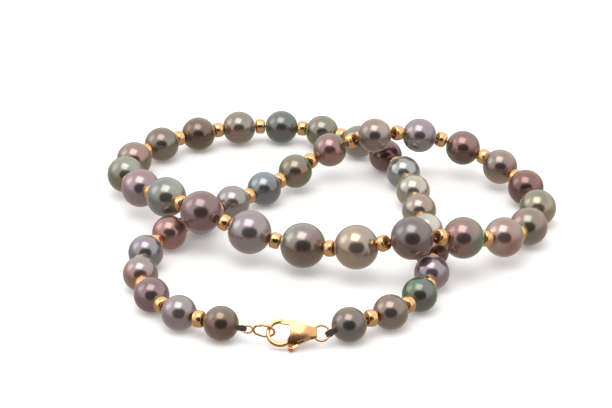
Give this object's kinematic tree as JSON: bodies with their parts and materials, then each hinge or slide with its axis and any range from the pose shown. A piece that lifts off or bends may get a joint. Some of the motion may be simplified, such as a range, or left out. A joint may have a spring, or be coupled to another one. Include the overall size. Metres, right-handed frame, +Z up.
{
  "type": "pearl necklace",
  "caption": "Graduated dark pearl strand with polished barrel spacers, closed by a lobster clasp on a wire link, lying in loose crossing loops.",
  "frame": {"origin": "under the middle of the strand's outline, on the surface it lies on", "axes": "+Z up from the surface; +Y from the clasp towards the back of the loops; +X to the right seen from the clasp side"},
  "size_m": [0.1126, 0.1196, 0.0173],
  "materials": {
    "pearl_grey": "satin pearl lustre",
    "pearl_rose": "satin pearl lustre",
    "pearl_green": "satin pearl lustre",
    "pearl_blue": "satin pearl lustre",
    "pearl_light": "satin pearl lustre",
    "gold": "bright polished rose-yellow gold",
    "silk": "twisted silk",
    "spring_steel": "spring temper"
  },
  "bodies": {
    "main_strand": {"thread_main": "silk", "spacers_main": "gold"},
    "front_strand": {"thread_front": "silk", "spacers_front": "gold", "end_knots": "silk"},
    "arc_strand": {"thread_arc": "silk", "spacers_arc": "gold"},
    "back_strand": {"thread_back": "silk", "spacers_back": "gold"},
    "jump_ring": {"jump_ring": "gold"},
    "end_link": {"end_link": "gold"},
    "clasp_body": {"clasp_body": "gold", "trigger_pin": "gold", "trigger_spring": "spring_steel"},
    "clasp_trigger": {"clasp_trigger": "gold"},
    "pearl_01": {"pearl_01": "pearl_grey"},
    "pearl_02": {"pearl_02": "pearl_light"},
    "pearl_03": {"pearl_03": "pearl_rose"},
    "pearl_04": {"pearl_04": "pearl_grey"},
    "pearl_05": {"pearl_05": "pearl_blue"},
    "pearl_06": {"pearl_06": "pearl_rose"},
    "pearl_07": {"pearl_07": "pearl_blue"},
    "pearl_08": {"pearl_08": "pearl_grey"},
    "pearl_09": {"pearl_09": "pearl_blue"},
    "pearl_10": {"pearl_10": "pearl_rose"},
    "pearl_11": {"pearl_11": "pearl_rose"},
    "pearl_12": {"pearl_12": "pearl_grey"},
    "pearl_13": {"pearl_13": "pearl_light"},
    "pearl_14": {"pearl_14": "pearl_rose"},
    "pearl_15": {"pearl_15": "pearl_rose"},
    "pearl_16": {"pearl_16": "pearl_rose"},
    "pearl_17": {"pearl_17": "pearl_green"},
    "pearl_18": {"pearl_18": "pearl_grey"},
    "pearl_19": {"pearl_19": "pearl_light"},
    "pearl_20": {"pearl_20": "pearl_rose"},
    "pearl_21": {"pearl_21": "pearl_grey"},
    "pearl_22": {"pearl_22": "pearl_rose"},
    "pearl_23": {"pearl_23": "pearl_rose"},
    "pearl_24": {"pearl_24": "pearl_light"},
    "pearl_25": {"pearl_25": "pearl_grey"},
    "pearl_26": {"pearl_26": "pearl_green"},
    "pearl_27": {"pearl_27": "pearl_rose"},
    "pearl_28": {"pearl_28": "pearl_green"},
    "pearl_29": {"pearl_29": "pearl_green"},
    "pearl_30": {"pearl_30": "pearl_green"},
    "pearl_31": {"pearl_31": "pearl_grey"},
    "pearl_32": {"pearl_32": "pearl_green"},
    "pearl_33": {"pearl_33": "pearl_blue"},
    "pearl_34": {"pearl_34": "pearl_green"},
    "pearl_35": {"pearl_35": "pearl_green"},
    "pearl_36": {"pearl_36": "pearl_rose"},
    "pearl_37": {"pearl_37": "pearl_grey"},
    "pearl_38": {"pearl_38": "pearl_light"},
    "pearl_39": {"pearl_39": "pearl_light"},
    "pearl_40": {"pearl_40": "pearl_green"},
    "pearl_41": {"pearl_41": "pearl_rose"},
    "pearl_42": {"pearl_42": "pearl_light"},
    "pearl_43": {"pearl_43": "pearl_blue"},
    "pearl_44": {"pearl_44": "pearl_rose"},
    "pearl_45": {"pearl_45": "pearl_grey"}
  },
  "joints": [
    {"name": "front_lift", "type": "hinge", "parent": "main_strand", "child": "front_strand", "pos_m": [-0.00914, -0.02267, 0.00419], "axis": [-0.9491, 0.3148, 0.0019], "range_deg": [0, 20]},
    {"name": "arc_lift", "type": "hinge", "parent": "main_strand", "child": "arc_strand", "pos_m": [0.00568, -0.01587, 0.00895], "axis": [-0.9927, 0.1182, 0.0231], "range_deg": [0, 20]},
    {"name": "back_lift", "type": "hinge", "parent": "main_strand", "child": "back_strand", "pos_m": [-0.02222, 0.03184, 0.0055], "axis": [0.8459, 0.5321, -0.0365], "range_deg": [0, 20]},
    {"name": "pearl_01_turn", "type": "hinge", "parent": "front_strand", "child": "pearl_01", "pos_m": [-0.02467, -0.05331, 0.004], "axis": [-0.9441, 0.3197, 0.0799], "continuous": true},
    {"name": "pearl_02_turn", "type": "hinge", "parent": "front_strand", "child": "pearl_02", "pos_m": [-0.03432, -0.04842, 0.00406], "axis": [-0.775, 0.632, 0.0049], "continuous": true},
    {"name": "pearl_03_turn", "type": "hinge", "parent": "front_strand", "child": "pearl_03", "pos_m": [-0.04104, -0.03996, 0.0041], "axis": [-0.4692, 0.8831, 0.0041], "continuous": true},
    {"name": "pearl_04_turn", "type": "hinge", "parent": "front_strand", "child": "pearl_04", "pos_m": [-0.04431, -0.0296, 0.00415], "axis": [-0.1296, 0.9916, 0.0036], "continuous": true},
    {"name": "pearl_05_turn", "type": "hinge", "parent": "front_strand", "child": "pearl_05", "pos_m": [-0.04381, -0.01863, 0.00418], "axis": [0.2469, 0.969, 0.0057], "continuous": true},
    {"name": "pearl_06_turn", "type": "hinge", "parent": "main_strand", "child": "pearl_06", "pos_m": [-0.03877, -0.0083, 0.00427], "axis": [0.5424, 0.8401, 0.0028], "continuous": true},
    {"name": "pearl_07_turn", "type": "hinge", "parent": "main_strand", "child": "pearl_07", "pos_m": [-0.03161, 0.00033, 0.00425], "axis": [0.6591, 0.752, -0.0003], "continuous": true},
    {"name": "pearl_08_turn", "type": "hinge", "parent": "main_strand", "child": "pearl_08", "pos_m": [-0.02401, 0.00855, 0.00426], "axis": [0.6844, 0.7291, 0.0018], "continuous": true},
    {"name": "pearl_09_turn", "type": "hinge", "parent": "main_strand", "child": "pearl_09", "pos_m": [-0.01626, 0.01667, 0.00428], "axis": [0.6929, 0.719, 0.0537], "continuous": true},
    {"name": "pearl_10_turn", "type": "hinge", "parent": "main_strand", "child": "pearl_10", "pos_m": [-0.00844, 0.0247, 0.00547], "axis": [0.729, 0.6625, 0.1726], "continuous": true},
    {"name": "pearl_11_turn", "type": "hinge", "parent": "main_strand", "child": "pearl_11", "pos_m": [0.00047, 0.03184, 0.00827], "axis": [0.8998, 0.3114, 0.3055], "continuous": true},
    {"name": "pearl_12_turn", "type": "hinge", "parent": "main_strand", "child": "pearl_12", "pos_m": [0.01202, 0.0316, 0.01243], "axis": [0.9875, 0.0899, 0.1298], "continuous": true},
    {"name": "pearl_13_turn", "type": "hinge", "parent": "main_strand", "child": "pearl_13", "pos_m": [0.02367, 0.03391, 0.0114], "axis": [0.981, 0.0686, -0.1817], "continuous": true},
    {"name": "pearl_14_turn", "type": "hinge", "parent": "main_strand", "child": "pearl_14", "pos_m": [0.03496, 0.03322, 0.0082], "axis": [0.9118, -0.328, -0.2471], "continuous": true},
    {"name": "pearl_15_turn", "type": "hinge", "parent": "main_strand", "child": "pearl_15", "pos_m": [0.04412, 0.02661, 0.00585], "axis": [0.6594, -0.7354, -0.1563], "continuous": true},
    {"name": "pearl_16_turn", "type": "hinge", "parent": "main_strand", "child": "pearl_16", "pos_m": [0.04985, 0.01659, 0.00467], "axis": [0.332, -0.9416, -0.056], "continuous": true},
    {"name": "pearl_17_turn", "type": "hinge", "parent": "main_strand", "child": "pearl_17", "pos_m": [0.05172, 0.00498, 0.00458], "axis": [-0.0636, -0.9978, 0.0161], "continuous": true},
    {"name": "pearl_18_turn", "type": "hinge", "parent": "main_strand", "child": "pearl_18", "pos_m": [0.04834, -0.00649, 0.00505], "axis": [-0.431, -0.8964, 0.1033], "continuous": true},
    {"name": "pearl_19_turn", "type": "hinge", "parent": "main_strand", "child": "pearl_19", "pos_m": [0.04149, -0.01625, 0.00703], "axis": [-0.692, -0.6886, 0.2166], "continuous": true},
    {"name": "pearl_20_turn", "type": "hinge", "parent": "arc_strand", "child": "pearl_20", "pos_m": [0.03126, -0.0233, 0.0104], "axis": [-0.8799, -0.4289, 0.2043], "continuous": true},
    {"name": "pearl_21_turn", "type": "hinge", "parent": "arc_strand", "child": "pearl_21", "pos_m": [0.01904, -0.02719, 0.01224], "axis": [-0.9964, -0.0481, -0.0705], "continuous": true},
    {"name": "pearl_22_turn", "type": "hinge", "parent": "arc_strand", "child": "pearl_22", "pos_m": [0.00612, -0.0243, 0.00845], "axis": [-0.9416, 0.2681, -0.2037], "continuous": true},
    {"name": "pearl_23_turn", "type": "hinge", "parent": "arc_strand", "child": "pearl_23", "pos_m": [-0.00644, -0.01995, 0.0067], "axis": [-0.9425, 0.3336, -0.0201], "continuous": true},
    {"name": "pearl_24_turn", "type": "hinge", "parent": "arc_strand", "child": "pearl_24", "pos_m": [-0.01915, -0.01536, 0.00793], "axis": [-0.9028, 0.4107, 0.1278], "continuous": true},
    {"name": "pearl_25_turn", "type": "hinge", "parent": "main_strand", "child": "pearl_25", "pos_m": [-0.03094, -0.0088, 0.01017], "axis": [-0.7932, 0.6055, 0.065], "continuous": true},
    {"name": "pearl_26_turn", "type": "hinge", "parent": "main_strand", "child": "pearl_26", "pos_m": [-0.03989, 0.00032, 0.00972], "axis": [-0.6357, 0.7642, -0.1088], "continuous": true},
    {"name": "pearl_27_turn", "type": "hinge", "parent": "main_strand", "child": "pearl_27", "pos_m": [-0.04696, 0.01043, 0.00745], "axis": [-0.4697, 0.8688, -0.157], "continuous": true},
    {"name": "pearl_28_turn", "type": "hinge", "parent": "back_strand", "child": "pearl_28", "pos_m": [-0.05163, 0.02206, 0.00579], "axis": [-0.1355, 0.9836, -0.1194], "continuous": true},
    {"name": "pearl_29_turn", "type": "hinge", "parent": "back_strand", "child": "pearl_29", "pos_m": [-0.05036, 0.03386, 0.00459], "axis": [0.3396, 0.9389, -0.0556], "continuous": true},
    {"name": "pearl_30_turn", "type": "hinge", "parent": "back_strand", "child": "pearl_30", "pos_m": [-0.04383, 0.04371, 0.0045], "axis": [0.6902, 0.7236, -0.0061], "continuous": true},
    {"name": "pearl_31_turn", "type": "hinge", "parent": "back_strand", "child": "pearl_31", "pos_m": [-0.03443, 0.0506, 0.00445], "axis": [0.8787, 0.4774, -0.0017], "continuous": true},
    {"name": "pearl_32_turn", "type": "hinge", "parent": "back_strand", "child": "pearl_32", "pos_m": [-0.02369, 0.05468, 0.00446], "axis": [0.9773, 0.2117, -0.0033], "continuous": true},
    {"name": "pearl_33_turn", "type": "hinge", "parent": "back_strand", "child": "pearl_33", "pos_m": [-0.01229, 0.0554, 0.00438], "axis": [0.9944, -0.1054, -0.0051], "continuous": true},
    {"name": "pearl_34_turn", "type": "hinge", "parent": "back_strand", "child": "pearl_34", "pos_m": [-0.00138, 0.05233, 0.00435], "axis": [0.9064, -0.4225, -0.0022], "continuous": true},
    {"name": "pearl_35_turn", "type": "hinge", "parent": "main_strand", "child": "pearl_35", "pos_m": [0.00823, 0.04578, 0.00433], "axis": [0.7268, -0.6868, -0.0017], "continuous": true},
    {"name": "pearl_36_turn", "type": "hinge", "parent": "main_strand", "child": "pearl_36", "pos_m": [0.0151, 0.03683, 0.00431], "axis": [0.4966, -0.868, -0.0018], "continuous": true},
    {"name": "pearl_37_turn", "type": "hinge", "parent": "main_strand", "child": "pearl_37", "pos_m": [0.01933, 0.0264, 0.00428], "axis": [0.2774, -0.9608, -0.002], "continuous": true},
    {"name": "pearl_38_turn", "type": "hinge", "parent": "main_strand", "child": "pearl_38", "pos_m": [0.02131, 0.01532, 0.00426], "axis": [0.1318, -0.9913, -0.002], "continuous": true},
    {"name": "pearl_39_turn", "type": "hinge", "parent": "main_strand", "child": "pearl_39", "pos_m": [0.02229, 0.00418, 0.00424], "axis": [0.0948, -0.9955, -0.0023], "continuous": true},
    {"name": "pearl_40_turn", "type": "hinge", "parent": "main_strand", "child": "pearl_40", "pos_m": [0.02343, -0.0069, 0.00421], "axis": [0.0865, -0.9962, -0.0026], "continuous": true},
    {"name": "pearl_41_turn", "type": "hinge", "parent": "main_strand", "child": "pearl_41", "pos_m": [0.02421, -0.01794, 0.00418], "axis": [0.0115, -0.9999, -0.0031], "continuous": true},
    {"name": "pearl_42_turn", "type": "hinge", "parent": "main_strand", "child": "pearl_42", "pos_m": [0.02368, -0.02898, 0.00415], "axis": [-0.1734, -0.9848, -0.0035], "continuous": true},
    {"name": "pearl_43_turn", "type": "hinge", "parent": "front_strand", "child": "pearl_43", "pos_m": [0.02033, -0.0398, 0.0041], "axis": [-0.477, -0.8789, -0.0041], "continuous": true},
    {"name": "pearl_44_turn", "type": "hinge", "parent": "front_strand", "child": "pearl_44", "pos_m": [0.01341, -0.04812, 0.00406], "axis": [-0.7568, -0.6537, -0.0048], "continuous": true},
    {"name": "pearl_45_turn", "type": "hinge", "parent": "front_strand", "child": "pearl_45", "pos_m": [0.00395, -0.05389, 0.004], "axis": [-0.8603, -0.4902, -0.14], "continuous": true},
    {"name": "ring_roll", "type": "hinge", "parent": "front_strand", "child": "jump_ring", "pos_m": [-0.00048, -0.05641, 0.00328], "axis": [1, 0, 0], "range_deg": [-10, 3]},
    {"name": "clasp_roll", "type": "hinge", "parent": "jump_ring", "child": "clasp_body", "pos_m": [-0.00408, -0.05641, 0.00328], "axis": [1, 0, 0], "range_deg": [-10, 2]},
    {"name": "link_roll", "type": "hinge", "parent": "front_strand", "child": "end_link", "pos_m": [-0.01986, -0.05494, 0.00359], "axis": [0.9789, -0.2045, 0], "range_deg": [-10, 15]},
    {"name": "trigger_press", "type": "hinge", "parent": "clasp_body", "child": "clasp_trigger", "pos_m": [-0.00783, -0.05634, 0.00335], "axis": [0, -0.682, 0.7314], "range_deg": [0, 25], "stiffness_Nm_per_rad": 0.002, "springref_deg": -17.19, "deforming": ["trigger_spring"]}
  ]
}
